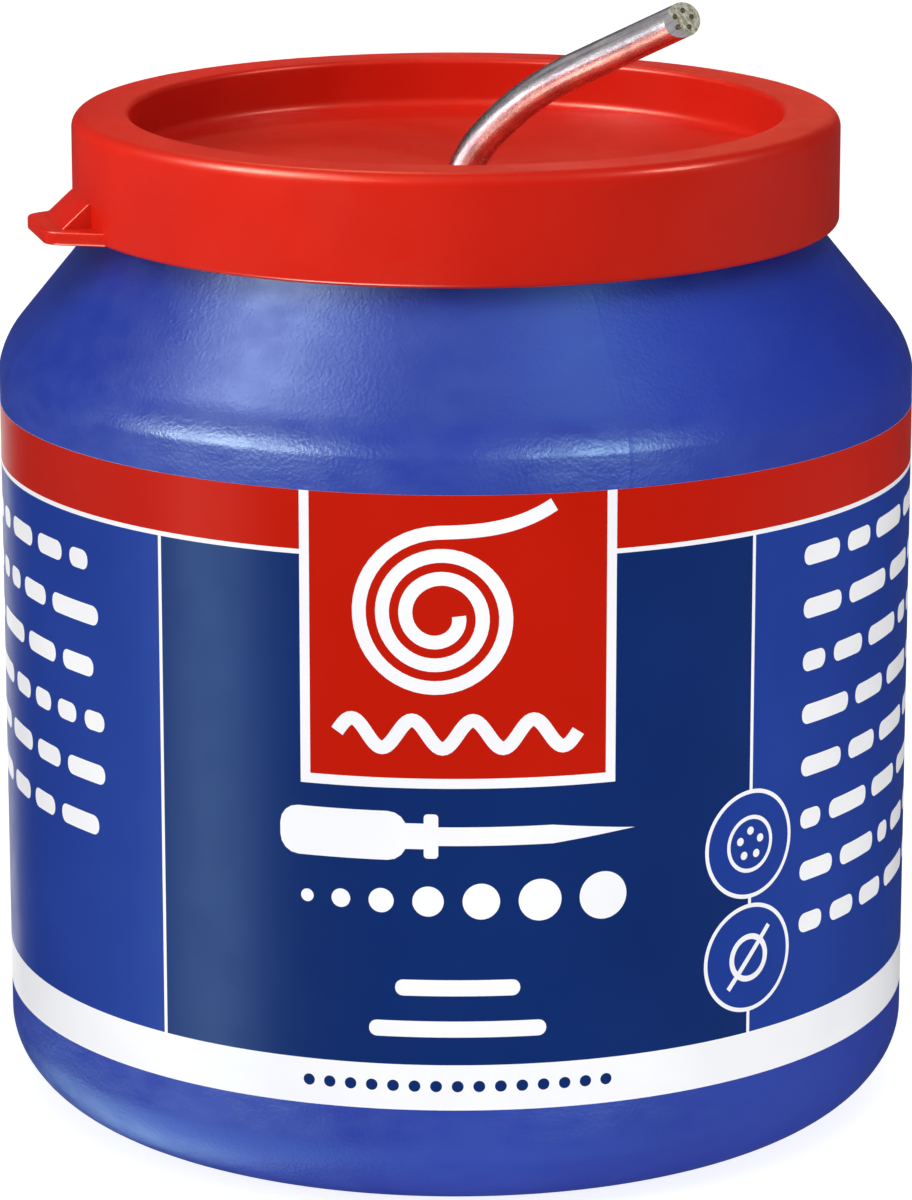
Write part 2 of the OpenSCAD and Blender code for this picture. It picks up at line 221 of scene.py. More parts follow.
class Finish:
    """A Principled material whose colour, roughness and bump can come from noises."""

    def __init__(self, name, colour, roughness, metallic=0.0, specular=0.5, tint=(1, 1, 1)):
        self.material = bpy.data.materials.new(name)
        self.material.use_nodes = True
        self.tree = self.material.node_tree
        self.shader = self.tree.nodes["Principled BSDF"]
        self.shader.inputs["Base Color"].default_value = colour
        self.shader.inputs["Roughness"].default_value = roughness
        self.shader.inputs["Metallic"].default_value = metallic
        self.shader.inputs["Specular IOR Level"].default_value = specular
        self.shader.inputs["Specular Tint"].default_value = (*tint, 1)
        self.normal = None

    def node(self, kind, **sockets):
        """New node. Each keyword names an input, with _ for a space, and gives its value or source."""
        made = self.tree.nodes.new(kind)
        for name, value in sockets.items():
            self.put(value, made.inputs[name.replace("_", " ")])
        return made

    def put(self, value, socket):
        """Sets an input, or links it where value is another node's output."""
        if isinstance(value, bpy.types.NodeSocket):
            self.tree.links.new(value, socket)
        else:
            socket.default_value = value

    def place(self, stretch=(1, 1, 1), uv=None):
        """Texture coordinates in metres, each axis multiplied by stretch; uv names a UV map to use."""
        if uv:
            source = self.tree.nodes.new("ShaderNodeUVMap")
            source.uv_map = uv
            vector = source.outputs["UV"]
        else:
            vector = self.node("ShaderNodeTexCoord").outputs["Object"]
        return self.node("ShaderNodeMapping", Vector=vector, Scale=stretch).outputs["Vector"]

    def noise(self, size, stretch=(1, 1, 1), detail=3.0, rough=0.5, uv=None):
        """Noise from 0 to 1 whose grain is about size millimetres."""
        made = self.node("ShaderNodeTexNoise", Vector=self.place(stretch, uv), Scale=1 / (size * MM),
                         Detail=detail, Roughness=rough)
        return made.outputs["Fac"]

    def spread(self, value, low, high, to_low=0.0, to_high=1.0):
        """Maps value from low..high to to_low..to_high."""
        made = self.tree.nodes.new("ShaderNodeMapRange")
        for socket, number in zip(made.inputs, (value, low, high, to_low, to_high)):
            self.put(number, socket)
        return made.outputs["Result"]

    def maths(self, operation, *values):
        """Result of one of the Math node's operations."""
        made = self.tree.nodes.new("ShaderNodeMath")
        made.operation = operation
        for value, socket in zip(values, made.inputs):
            self.put(value, socket)
        return made.outputs[0]

    def apart(self, value, middle):
        """How far value is from middle."""
        return self.maths("ABSOLUTE", self.maths("SUBTRACT", value, middle))

    def blend(self, factor, first, second):
        """Colour between first, at factor 0, and second, at 1."""
        made = self.tree.nodes.new("ShaderNodeMix")
        made.data_type = "RGBA"
        colours = [s for s in made.inputs if s.type == "RGBA"]
        self.put(factor, made.inputs[0])
        self.put(first, colours[0])
        self.put(second, colours[1])
        return [s for s in made.outputs if s.type == "RGBA"][0]

    def colour(self, socket):
        """Takes the base colour from a socket."""
        self.put(socket, self.shader.inputs["Base Color"])

    def clouds(self, size, first, second):
        """Makes the base colour drift from first to second in clouds of about size millimetres."""
        self.colour(self.blend(self.spread(self.noise(size, detail=2), 0.35, 0.7), first, second))

    def roughness(self, socket):
        """Takes the roughness from a socket."""
        self.put(socket, self.shader.inputs["Roughness"])

    def bump(self, height, depth):
        """Adds a bump of depth millimetres to the ones before it."""
        made = self.node("ShaderNodeBump", Height=height, Distance=depth * MM, Strength=1)
        if self.normal:
            self.put(self.normal, made.inputs["Normal"])
        self.normal = made.outputs["Normal"]
        self.put(self.normal, self.shader.inputs["Normal"])


def jar_plastic():
    """Blow-moulded polyethylene: satin, with the fine level wrinkles that the parison leaves."""
    f = Finish("jar_plastic", srgb(32, 54, 160), 0.36, specular=0.28, tint=(0.7, 0.93, 1))
    f.clouds(22, srgb(29, 49, 155), srgb(36, 60, 166))
    f.roughness(f.spread(f.noise(3.5, (1, 1, 2)), 0.3, 0.7, 0.3, 0.42))
    f.bump(f.noise(14, detail=1), 0.12)
    f.bump(f.noise(1.8, (0.6, 0.6, 1.6), detail=3, rough=0.55), 0.04)
    f.bump(f.noise(0.3, detail=2), 0.03)
    return f.material


def lid_plastic():
    """Injection-moulded polyethylene: smooth, with a faint orange peel and cloudy roughness."""
    f = Finish("lid_plastic", srgb(180, 22, 9), 0.28, specular=0.24, tint=(1, 0.36, 0.24))
    f.clouds(16, srgb(175, 19, 7), srgb(185, 25, 11))
    f.roughness(f.spread(f.noise(5), 0.3, 0.7, 0.285, 0.38))
    f.bump(f.noise(9, detail=1), 0.05)
    f.bump(f.noise(0.9, detail=3), 0.006)
    return f.material


def ink(name, colour, lighter, tint=(0.45, 0.8, 1)):
    """Printed film: satin, following the slight unevenness of the jar beneath it."""
    f = Finish(name, colour, 0.3, specular=0.15, tint=tint)
    f.clouds(18, colour, lighter)
    f.roughness(f.spread(f.noise(4), 0.3, 0.7, 0.285, 0.35))
    f.bump(f.noise(12, detail=1), 0.06)
    return f.material


def painted_reflection_line(f, waver):
    """From 0 to 0.8: a painted reflection, the thin dark line where the wire's mirror image turns from
    light to dark, fixed along one side of the wire.
    """
    place, sway = 6.7, 0.09          # measured round the wire
    half_w, fade_w = 0.02, 0.11
    across = f.node("ShaderNodeSeparateXYZ", Vector=f.place(uv="run")).outputs["Y"]
    middle = f.spread(waver, 0.3, 0.8, (place - sway) * MM, (place + sway) * MM)
    return f.spread(f.apart(across, middle), half_w * MM, fade_w * MM, 0.8, 0)


def solder_metal():
    """Drawn tin-lead wire: bright, grainy, with streaks along its run."""
    f = Finish("solder_metal", srgb(205, 203, 208), 0.3, metallic=1.0)
    streak = f.noise(0.5, (0.07, 1, 1), detail=4, rough=0.65, uv="run")
    grain = f.noise(0.22, (0.5, 1, 1), detail=4, rough=0.7, uv="run")
    tarnish = f.noise(2.4, detail=3, rough=0.6)
    bright = f.blend(f.spread(tarnish, 0.35, 0.7), srgb(226, 223, 226), srgb(186, 181, 188))
    streaked = f.blend(f.spread(streak, 0.45, 0.75), bright, srgb(140, 132, 142))
    # The dark colour laid along the wire here is the painted reflection line.
    f.colour(f.blend(painted_reflection_line(f, streak), streaked, srgb(70, 62, 66)))
    f.roughness(f.spread(grain, 0.3, 0.75, 0.2, 0.42))
    f.bump(streak, 0.02)
    f.bump(grain, 0.014)
    return f.material


def cut_metal():
    """The face that the cutter left: dull and bright patches, smeared with rosin."""
    f = Finish("cut_metal", srgb(190, 190, 176), 0.42, metallic=0.75)
    smear = f.noise(0.5, (1, 2.2, 1), detail=4, rough=0.65)
    f.colour(f.blend(f.spread(smear, 0.4, 0.6), srgb(238, 238, 228), srgb(160, 158, 124)))
    f.roughness(f.spread(f.noise(0.2), 0.3, 0.7, 0.25, 0.5))
    f.bump(f.noise(0.3, (1, 3, 1), detail=3), 0.05)
    return f.material


def flux_rosin():
    """Dull amber rosin, darker where it is thick."""
    f = Finish("flux_rosin", srgb(104, 98, 62), 0.5, specular=0.5)
    f.colour(f.blend(f.spread(f.noise(0.3), 0.35, 0.65), srgb(58, 50, 26), srgb(112, 102, 64)))
    f.bump(f.noise(0.15), 0.02)
    return f.material


def floor_paper():
    """White paper on a light table."""
    f = Finish("floor_paper", (0.4, 0.4, 0.4, 1), 0.9, specular=0.0)
    f.shader.inputs["Emission Color"].default_value = (1, 1, 1, 1)
    f.shader.inputs["Emission Strength"].default_value = 0.85
    f.colour(f.blend(f.noise(60), (0.39, 0.39, 0.39, 1), (0.41, 0.41, 0.41, 1)))
    f.bump(f.noise(1.5), 0.02)
    return f.material


# ---------------------------------------------------------------- mesh tools

def loose_object(name, mesh):
    """Object with a mesh, on no body yet."""
    made = bpy.data.objects.new(name, mesh)
    scene.collection.objects.link(made)
    return made


def dress(piece, body, sharp_angle=35):
    """Shades a piece smoothly apart from its sharp edges, and gives it its body."""
    piece.data.shade_smooth()
    piece.data.set_sharp_from_angle(angle=math.radians(sharp_angle))
    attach(piece, body)


def add_piece(name, mesh, body, materials, sharp_angle=35):
    """Finished piece from a mesh."""
    for material in materials:
        mesh.materials.append(material)
    piece = loose_object(name, mesh)
    dress(piece, body, sharp_angle)
    return piece


def new_mesh(name, points, faces):
    """Mesh from points in millimetres."""
    mesh = bpy.data.meshes.new(name)
    mesh.from_pydata([Vector(p) * MM for p in points], [], faces)
    mesh.update()
    return mesh


def face_outwards(mesh):
    """Turns the faces of a closed mesh outwards."""
    b = bmesh.new()
    b.from_mesh(mesh)
    bmesh.ops.recalc_face_normals(b, faces=b.faces)
    b.to_mesh(mesh)
    b.free()


def turned(p, degrees, lift=0):
    """A point turned about the Z axis and lifted."""
    a = math.radians(degrees)
    x, y, z = p
    return (x * math.cos(a) - y * math.sin(a), x * math.sin(a) + y * math.cos(a), z + lift)


def arc(middle, radius, start, end, steps=12):
    """Points of an arc in a half section; angles in degrees from the outward direction."""
    return [spoke(middle, radius, start + (end - start) * i / steps) for i in range(steps + 1)]


def rounded(corners, closed=False, step=9):
    """Outline through corners (x, y) or (x, y, fillet radius), with an arc at each fillet.

    The arcs go in steps of at most step degrees.
    """
    n = len(corners)
    line = []
    for i, corner in enumerate(corners):
        here = Vector(corner[:2])
        radius = corner[2] if len(corner) > 2 else 0
        if radius == 0 or (not closed and i in (0, n - 1)):
            line.append(tuple(here))
            continue
        back = (Vector(corners[i - 1][:2]) - here).normalized()
        ahead = (Vector(corners[(i + 1) % n][:2]) - here).normalized()
        half = back.angle(ahead) / 2
        middle = here + (back + ahead).normalized() * (radius / math.sin(half))
        first = here + back * (radius / math.tan(half)) - middle
        last = here + ahead * (radius / math.tan(half)) - middle
        turn = first.angle_signed(last)
        steps = max(2, math.ceil(abs(math.degrees(turn)) / step))
        for k in range(steps + 1):
            arm = first.copy()
            arm.rotate(Matrix.Rotation(-turn * k / steps, 2))
            line.append(tuple(middle + arm))
    return line


def lathe(name, outline, angles, closed, push=None):
    """Surface of revolution of a half section (r, z). push(r, z, angle) gives the finished radius."""
    on_axis = 1e-6
    points, rings = [], []
    for r, z in outline:
        if r < on_axis:
            rings.append([len(points)] * len(angles))
            points.append((0, 0, z))
            continue
        rings.append(range(len(points), len(points) + len(angles)))
        for a in angles:
            pushed = push(r, z, a) if push else r
            points.append((pushed * math.sin(a), -pushed * math.cos(a), z))
    faces = []
    for i in range(len(rings) if closed else len(rings) - 1):
        low, high = rings[i], rings[(i + 1) % len(rings)]
        for k in range(len(angles)):
            m = (k + 1) % len(angles)
            face = list(dict.fromkeys((low[k], low[m], high[m], high[k])))
            if len(face) > 2:
                faces.append(face)
    mesh = new_mesh(name, points, faces)
    face_outwards(mesh)
    return mesh


def even_angles(count):
    """Angles that divide a full turn."""
    return [2 * math.pi * i / count for i in range(count)]


def sweep(name, path, radius, sides, first_side):
    """Round bar along path, closed by flat ends, with a UV map of metres along and around it."""
    path = [Vector(p) for p in path]
    side = Vector(first_side)
    points, run = [], [0.0]
    for i, p in enumerate(path):
        way = (path[min(i + 1, len(path) - 1)] - path[max(i - 1, 0)]).normalized()
        side = (side - way * side.dot(way)).normalized()
        other = way.cross(side)
        for k in range(sides):
            a = 2 * math.pi * k / sides
            points.append(p + radius * (math.cos(a) * side + math.sin(a) * other))
        if i:
            run.append(run[-1] + (p - path[i - 1]).length)
    faces, uvs = [], []
    around = 2 * math.pi * radius / sides
    for i in range(len(path) - 1):
        for k in range(sides):
            a, b = i * sides + k, i * sides + (k + 1) % sides
            faces.append((a, b, b + sides, a + sides))
            uvs += [(run[i], k * around), (run[i], (k + 1) * around),
                    (run[i + 1], (k + 1) * around), (run[i + 1], k * around)]
    for ring in (range(sides)[::-1], range(len(points) - sides, len(points))):
        faces.append(tuple(ring))
        uvs += [(0.0, 0.0)] * sides
    mesh = new_mesh(name, points, faces)
    layer = mesh.uv_layers.new(name="run")
    for loop, uv in zip(layer.data, uvs):
        loop.uv = (uv[0] * MM, uv[1] * MM)
    return mesh


# ---------------------------------------------------------------- jar

PART_LINE = math.radians(20.6)   # the mould's parting line; its twin is on the other side
RIDGE_H, FAINT_RIDGE_H = 0.03, 0.012                   # its height up to the crease, and above it
RIDGE_HALF_W = 0.35              # degrees
SAG, SAG_FADE_H, SAG_WAVES, SAG_WAVE_H = 0.1, 3, 2.2, 9     # unevenness of the blown shoulder
PLAIN_Z, PLAIN_R = 3, 30         # the wall is true below this height and inside this radius
KEEP_IN = 0.02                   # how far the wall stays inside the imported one


def near_part_line(a):
    """Distance in degrees from the nearer parting line."""
    gap = (a - PART_LINE) % math.pi
    return math.degrees(min(gap, math.pi - gap))


def jar_angles():
    """Evenly spaced angles, with closer ones in place of those beside the parting lines."""
    close, cleared = (0.15, 0.3, 0.5, 0.8, 1.2), 1.4         # degrees from a parting line
    beside = [0] + [math.radians(side * d) for d in close for side in (-1, 1)]
    kept = [a for a in even_angles(240) if near_part_line(a) > cleared]
    for line in (PART_LINE, PART_LINE + math.pi):
        kept += [line + d for d in beside]
    return sorted(kept)


def on_outside(r, z):
    """Whether a point of the jar's section above the label is on the wall's outside."""
    bend_h, margin = 2, 0.5          # height of the bend above the crease, and a third of the wall
    drawn_in = max(0, z - CREASE_Z - bend_h) * math.tan(math.radians(SHOULDER_ANGLE))
    return r > BODY_R - BODY_WALL + margin - drawn_in


def wavy(a, z, waves, wave_h):
    """Smooth noise round the axis, from about -1 to 1."""
    return noise.noise(Vector((waves * math.sin(a), waves * math.cos(a), z / wave_h)))


def jar_push(r, z, a):
    """Slight sag of the blown shoulder, and the ridge of the parting line on its outside."""
    if z < PLAIN_Z or r < PLAIN_R:
        return r
    low, high = LABEL_HIGH + 0.5, NECK_Z - 1
    push = -KEEP_IN
    if low < z < high:
        fade = min(1, (z - low) / SAG_FADE_H, (high - z) / SAG_FADE_H)
        push += SAG * fade * wavy(a, z, SAG_WAVES, SAG_WAVE_H)
    if z > LABEL_HIGH and on_outside(r, z):
        ridge = RIDGE_H if z < CREASE_Z + 1 else FAINT_RIDGE_H
        push += ridge * math.exp(-(near_part_line(a) / RIDGE_HALF_W) ** 2)
    return r + push


def bead(r, z, outwards):
    """Snap bead on a wall at radius r, with its points from the bottom up."""
    reach = math.degrees(math.acos(BEAD / BEAD_R))
    if outwards:
        return arc((r - BEAD, z), BEAD_R, -reach, reach, 10)
    return arc((r + BEAD, z), BEAD_R, 180 + reach, 180 - reach, 10)


def jar_outline():
    """Section of the wall: outside from the push-up to the mouth, then inside down to the seat."""
    inner_r, inner_shoulder = BODY_R - BODY_WALL, SHOULDER_R - BODY_WALL
    foot_in, heel_in = FOOT_R - BODY_WALL, HEEL_R - BODY_WALL
    slope = math.tan(math.radians(SHOULDER_ANGLE))
    bend_in = arc(SHOULDER_MID, inner_shoulder, SHOULDER_ANGLE, SHOULDER_ANGLE, 1)[0]
    inner_cone = bend_in[1] + (bend_in[0] - MOUTH_R) / slope
    crease_in = math.degrees(math.acos((inner_r - SHOULDER_MID[0]) / inner_shoulder))
    seat_edge = -math.degrees(math.asin((FOOT_MID[1] - BASE_T) / foot_in))
    outside = [(0, PUSH_UP_H), (PUSH_UP_R, PUSH_UP_H, 0.6), (PUSH_UP_R, 0, 0.4)]
    outside += arc(FOOT_MID, FOOT_R, -90, -HEEL_ANGLE, 16)
    outside += arc(HEEL_MID, HEEL_R, -HEEL_ANGLE, 0, 12)[1:]
    outside += [(BODY_R, LABEL_LOW, 0.05), (BODY_R - LABEL_T, LABEL_LOW, 0.05)]
    outside += [(BODY_R - LABEL_T, LABEL_HIGH, 0.05), (BODY_R, LABEL_HIGH, 0.05)]
    outside += [(BODY_R, CREASE_Z, 1.8)]
    outside += arc(SHOULDER_MID, SHOULDER_R, CREASE_ANGLE + 3, SHOULDER_ANGLE, 12)
    outside += [(NECK_R, NECK_Z, 0.9)] + bead(NECK_R, MOUTH_Z - NECK_BEAD_DROP, outwards=True)
    outside += [(NECK_R, MOUTH_Z, 0.35), (MOUTH_R, MOUTH_Z, 0.35), (MOUTH_R, inner_cone, 1.2)]
    inside = arc(SHOULDER_MID, inner_shoulder, SHOULDER_ANGLE, crease_in, 10)
    inside += arc(HEEL_MID, heel_in, 0, -HEEL_ANGLE, 8)
    inside += arc(FOOT_MID, foot_in, -HEEL_ANGLE, seat_edge, 10)[1:]
    inside += [(SEAT_R, BASE_T, 0.5), (SEAT_R, SEAT_Z, 0.5), (0, SEAT_Z)]
    return rounded(outside + inside)


def long_spans(outline, longest):
    """The outline with its long straight spans divided."""
    line = [outline[0]]
    for end in outline[1:]:
        start = line[-1]
        parts = math.ceil(math.dist(start, end) / longest)
        line += [(start[0] + (end[0] - start[0]) * i / parts, start[1] + (end[1] - start[1]) * i / parts)
                 for i in range(1, parts + 1)]
    return line


jar_shape = long_spans(jar_outline(), longest=3)
jar_mesh = lathe("jar_shell", jar_shape, jar_angles(), closed=False, push=jar_push)
jar = add_piece("jar_shell", jar_mesh, "jar", [jar_plastic()])
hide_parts("jar")


# ---------------------------------------------------------------- label

# Places on the label are lengths along it from its middle, to the right, and heights.
LABEL_HALF = math.pi * BODY_R - LABEL_SEAM / 2
PRINT_SHIFT = 0.14               # the print sits this far to the right
PANEL_LEFT, PANEL_RIGHT = -38.0, 37.9                  # azimuths of the dark panel's sides
PLAQUE_LEFT, PLAQUE_RIGHT, PLAQUE_LOW, PLAQUE_EDGE = -18.85, 18.95, 38.0, 0.84
RED_LOW, WHITE_LINE_LOW, BAND_HIGH, LINE_W = 57.74, 57.34, 14.07, 0.32
GAUGE_RADII = (0.55, 0.8, 1.05, 1.3, 1.55, 1.8, 2.05)
GAUGE_LEFT, GAUGE_Y, GAUGE_GAP = -13.2, 28.3, 1.55
BAR_H, BAR_ROUND_R = 1.4, 0.65
DOT_COUNT, DOT_LEFT, DOT_Y, DOT_PITCH, DOT_R = 15, -12.6, 12.2, 1.8, 0.5
RING_R, RING_LINE_W, CORE_RING_Y, GAUGE_RING_Y = 4.75, 0.36, 30.7, 20.7
ROW_PITCH, ROW_H, SIGN_W = 4.6, 1.7, 1.15
ROWS = ((-104, -48, 53.6, 6), (46.5, 104, 54.5, 8))    # azimuths of both ends, first height, count


def arc_at(azimuth):
    """Length along the label from its middle to an azimuth in degrees."""
    return math.radians(azimuth) * BODY_R


def bar(left, low, right, high, round_r=0.0):
    """Outline of a rectangle, with round corners or without."""
    corners = [(left, low), (right, low), (right, high), (left, high)]
    if round_r == 0:
        return corners
    return rounded([(x, y, round_r) for x, y in corners], closed=True, step=30)


def disc(x, y, r, steps=48):
    """Outline of a disc."""
    return [(x + r * math.cos(a), y + r * math.sin(a)) for a in even_angles(steps)]


def stroke(points, width):
    """Outline of a line of the given width through points, with square ends."""
    left, right = [], []
    for i, p in enumerate(points):
        a, b = points[max(i - 1, 0)], points[min(i + 1, len(points) - 1)]
        way = Vector((b[0] - a[0], b[1] - a[1])).normalized() * (width / 2)
        left.append((p[0] - way.y, p[1] + way.x))
        right.append((p[0] + way.y, p[1] - way.x))
    return left + right[::-1]


def coil_sign(x, y):
    """A coil of wire seen from above, with its outer end led away to the right."""
    turns, inner_r, outer_r, steps = 2.75, 1.7, 7.0, 140
    tail_len, tail_rise, tail_curl, tail_steps = 9.5, 0.3, 1.9, 16
    points = []
    for i in range(steps + 1):
        t = i / steps
        a = math.radians(90 + 360 * turns * (1 - t))
        r = inner_r + (outer_r - inner_r) * t
        points.append((x + r * math.cos(a), y + r * math.sin(a)))
    end_x, end_y = points[-1]
    for i in range(1, tail_steps + 1):
        t = i / tail_steps
        points.append((end_x + tail_len * t, end_y + tail_rise * t + tail_curl * t ** 3))
    return stroke(points, SIGN_W)


def wave_sign(x, y):
    """A wavy line."""
    length, height, waves = 20, 2.4, 4
    steps = 24 * waves
    points = [(x - length / 2 + length * i / steps,
               y + height / 2 * math.sin(2 * math.pi * waves * i / steps)) for i in range(steps + 1)]
    return stroke(points, SIGN_W)


def iron_sign(x, y):
    """Handle, neck, collar, shaft and tip of a soldering iron that lies level, its tip to the right."""
    shaft_half, tip_half = 0.8, 0.14
    yield bar(x - 15, y - 2.1, x - 4.2, y + 2.1, 1.6)
    yield bar(x - 4.6, y - 1.1, x - 2.4, y + 1.1)
    yield bar(x - 2.8, y - 1.9, x - 1.6, y + 1.9, 0.3)
    yield bar(x - 1.8, y - shaft_half, x + 8, y + shaft_half)
    yield [(x + 7.9, y - shaft_half), (x + 13.6, y - tip_half), (x + 15, y), (x + 13.6, y + tip_half),
           (x + 7.9, y + shaft_half)]


def words(rng, left, right, y):
    """A row of plain bars as long as words."""
    shortest, longest, gap, least_room = 2.4, 8.2, 1.3, 2
    x = left
    while x < right - least_room:
        length = min(rng.uniform(shortest, longest), right - x)
        yield bar(x, y - ROW_H / 2, x + length, y + ROW_H / 2, ROW_H * 0.45)
        x += length + gap


def panels():
    """Dark panels at the front and the back, the lines beside them, and the red and the white band."""
    left, right, back = arc_at(PANEL_LEFT), arc_at(PANEL_RIGHT), math.pi * BODY_R
    for low, high in ((left, right), (-LABEL_HALF, right - back), (left + back, LABEL_HALF)):
        yield "navy", bar(low, LABEL_LOW, high, LABEL_HIGH)
    for edge in (left, right, left + back, right - back):
        yield "white", bar(edge - LINE_W / 2, LABEL_LOW, edge + LINE_W / 2, LABEL_HIGH)
    yield "white", bar(-LABEL_HALF, WHITE_LINE_LOW, LABEL_HALF, RED_LOW)
    yield "red", bar(-LABEL_HALF, RED_LOW, LABEL_HALF, LABEL_HIGH)
    yield "white", bar(-LABEL_HALF, LABEL_LOW, LABEL_HALF, BAND_HIGH)


def plaque():
    """Red plaque with its white edge, a coil of wire and a wavy line."""
    left, right = arc_at(PLAQUE_LEFT), arc_at(PLAQUE_RIGHT)
    yield "white", bar(left, PLAQUE_LOW, right, LABEL_HIGH)
    yield "red", bar(left + PLAQUE_EDGE, PLAQUE_LOW + PLAQUE_EDGE, right - PLAQUE_EDGE, LABEL_HIGH)
    yield "white", coil_sign(-1.6, 52.6)
    yield "white", wave_sign(0, 42.6)


def panel_signs():
    """A soldering iron, discs that grow in size and two bars, and dots on the white band."""
    for outline in iron_sign(0, 33.9):
        yield "white", outline
    x = GAUGE_LEFT
    for r in GAUGE_RADII:
        x += r
        yield "white", disc(x, GAUGE_Y, r)
        x += r + GAUGE_GAP
    for half, low in ((5.2, 20.1), (7.4, 16.5)):
        yield "white", bar(-half, low, half, low + BAR_H, BAR_ROUND_R)
    for i in range(DOT_COUNT):
        yield "navy", disc(DOT_LEFT + DOT_PITCH * i, DOT_Y, DOT_R, 24)


def ring_signs():
    """Two rings on the right-hand line, with the section of a cored wire and the sign for a diameter."""
    x = arc_at(PANEL_RIGHT)
    for y in (CORE_RING_Y, GAUGE_RING_Y):
        yield "white", disc(x, y, RING_R, 96)
        yield "blue", disc(x, y, RING_R - RING_LINE_W, 96)
    yield "white", disc(x, CORE_RING_Y, 2.5)
    yield "blue", disc(x, CORE_RING_Y, 2.15)
    cores_r, core_r = 1.15, 0.36
    for i in range(FLUX_COUNT):
        a = 2 * math.pi * i / FLUX_COUNT + math.pi / 2
        yield "white", disc(x + cores_r * math.cos(a), CORE_RING_Y + cores_r * math.sin(a), core_r, 20)
    yield "white", disc(x, GAUGE_RING_Y, 2.1)
    yield "blue", disc(x, GAUGE_RING_Y, 1.6)
    slash = [(x - 2.2, GAUGE_RING_Y - 2.5), (x + 2.2, GAUGE_RING_Y + 2.5)]
    yield "white", stroke(slash, 0.45)


def side_rows():
    """Rows of plain bars where the side panels carry their paragraphs."""
    rng = random.Random(7)
    for low, high, top_y, rows in ROWS:
        for i in range(rows):
            for outline in words(rng, arc_at(low), arc_at(high), top_y - ROW_PITCH * i):
                yield "white", outline


def label_shapes():
    """The print, as (colour, outline) in the order that it is laid down."""
    shapes = []
    for group in (panels, plaque, panel_signs, ring_signs, side_rows):
        for colour, outline in group():
            placed = [(max(-LABEL_HALF, min(LABEL_HALF, x + PRINT_SHIFT)), y) for x, y in outline]
            shapes.append((colour, placed))
    return shapes


def inside(outline, x, y):
    """Whether an outline winds round a point."""
    winds = 0
    px, py = outline[-1]
    for qx, qy in outline:
        if (qy > y) != (py > y) and x < (px - qx) * (y - qy) / (py - qy) + qx:
            winds += 1 if qy > py else -1
        px, py = qx, qy
    return winds != 0


def divided_label(outlines):
    """Flat points and faces of the label, divided along every outline and into narrow strips."""
    strips, merge, triangles = 180, 1e-5, 0
    points, edges = [], []

    def add(outline, closed=True):
        """Divides the label along an outline."""
        start = len(points)
        points.extend(Vector(p) for p in outline)
        n = len(outline)
        edges.extend((start + i, start + (i + 1) % n) for i in range(n if closed else n - 1))

    add(bar(-LABEL_HALF, LABEL_LOW, LABEL_HALF, LABEL_HIGH))
    for i in range(1, strips):
        x = -LABEL_HALF + 2 * LABEL_HALF * i / strips
        add([(x, LABEL_LOW), (x, LABEL_HIGH)], closed=False)
    for outline in outlines:
        add(outline)
    flat, _, faces, *_ = delaunay_2d_cdt(points, edges, [], triangles, merge)
    return [tuple(p) for p in flat], faces


def printed_colour(shapes, boxes, x, y):
    """Colour of the last shape laid over a point of the label, or of the ground."""
    for (colour, outline), (x0, x1, y0, y1) in zip(reversed(shapes), reversed(boxes)):
        if x0 <= x <= x1 and y0 <= y <= y1 and inside(outline, x, y):
            return colour
    return "blue"


def label_mesh(inks):
    """The film as a closed skin, with the print in its faces."""
    shapes = label_shapes()
    flat, faces = divided_label([outline for _, outline in shapes])
    boxes = [(min(p[0] for p in o), max(p[0] for p in o), min(p[1] for p in o), max(p[1] for p in o))
             for _, o in shapes]
    colours = []
    for face in faces:
        x = sum(flat[i][0] for i in face) / len(face)
        y = sum(flat[i][1] for i in face) / len(face)
        colours.append(inks.index(printed_colour(shapes, boxes, x, y)))

    def wrap(r):
        """The flat points wound round the barrel's axis at radius r."""
        return [(r * math.sin(x / BODY_R), -r * math.cos(x / BODY_R), y) for x, y in flat]

    n, clearance = len(flat), 0.01
    ways = dict.fromkeys((a, face[(i + 1) % len(face)]) for face in faces for i, a in enumerate(face))
    rim = [(a, b) for a, b in ways if (b, a) not in ways]
    back = [tuple(n + i for i in reversed(face)) for face in faces]
    sides = [(b, a, n + a, n + b) for a, b in rim]
    mesh = new_mesh("label_film", wrap(BODY_R - clearance) + wrap(BODY_R - LABEL_T + clearance),
                    list(faces) + back + sides)
    for polygon, colour in zip(mesh.polygons, colours + colours + [inks.index("white")] * len(sides)):
        polygon.material_index = colour
    return mesh


INKS = {"blue": ink("ink_blue", srgb(22, 54, 144), srgb(28, 60, 152)),
        "navy": ink("ink_navy", srgb(5, 36, 101), srgb(8, 40, 107)),
        "red": ink("ink_red", srgb(186, 24, 8), srgb(192, 28, 13), (0.6, 0.1, 0.05)),
        "white": ink("ink_white", srgb(240, 240, 244), srgb(250, 250, 252))}

label = add_piece("label_film", label_mesh(list(INKS)), "jar", list(INKS.values()),
                  sharp_angle=60)
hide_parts("label")


# ---------------------------------------------------------------- lid

def apply_modifiers(piece):
    """Replaces the mesh of a piece by what its modifiers make of it."""
    made = bpy.data.meshes.new_from_object(piece.evaluated_get(bpy.context.evaluated_depsgraph_get()))
    piece.modifiers.clear()
    piece.data = made
    return made


def bevelled(name, points, faces, width):
    """Closed mesh with its edges rounded."""
    mesh = new_mesh(name, points, faces)
    face_outwards(mesh)
    made = loose_object(name, mesh)
    bevel = made.modifiers.new("round", "BEVEL")
    bevel.width = width * MM
    bevel.segments = 3
    bevel.limit_method = "ANGLE"
    bevel.angle_limit = math.radians(25)
    apply_modifiers(made)
    return made


def prism(outline, low, high, place):
    """Points and faces of an outline extruded from low to high; place turns (x, y, z) to a point."""
    n = len(outline)
    points = [place(x, y, low) for x, y in outline] + [place(x, y, high) for x, y in outline]
    faces = [tuple(range(n))[::-1], tuple(range(n, 2 * n))]
    faces += [(i, (i + 1) % n, n + (i + 1) % n, n + i) for i in range(n)]
    return points, faces


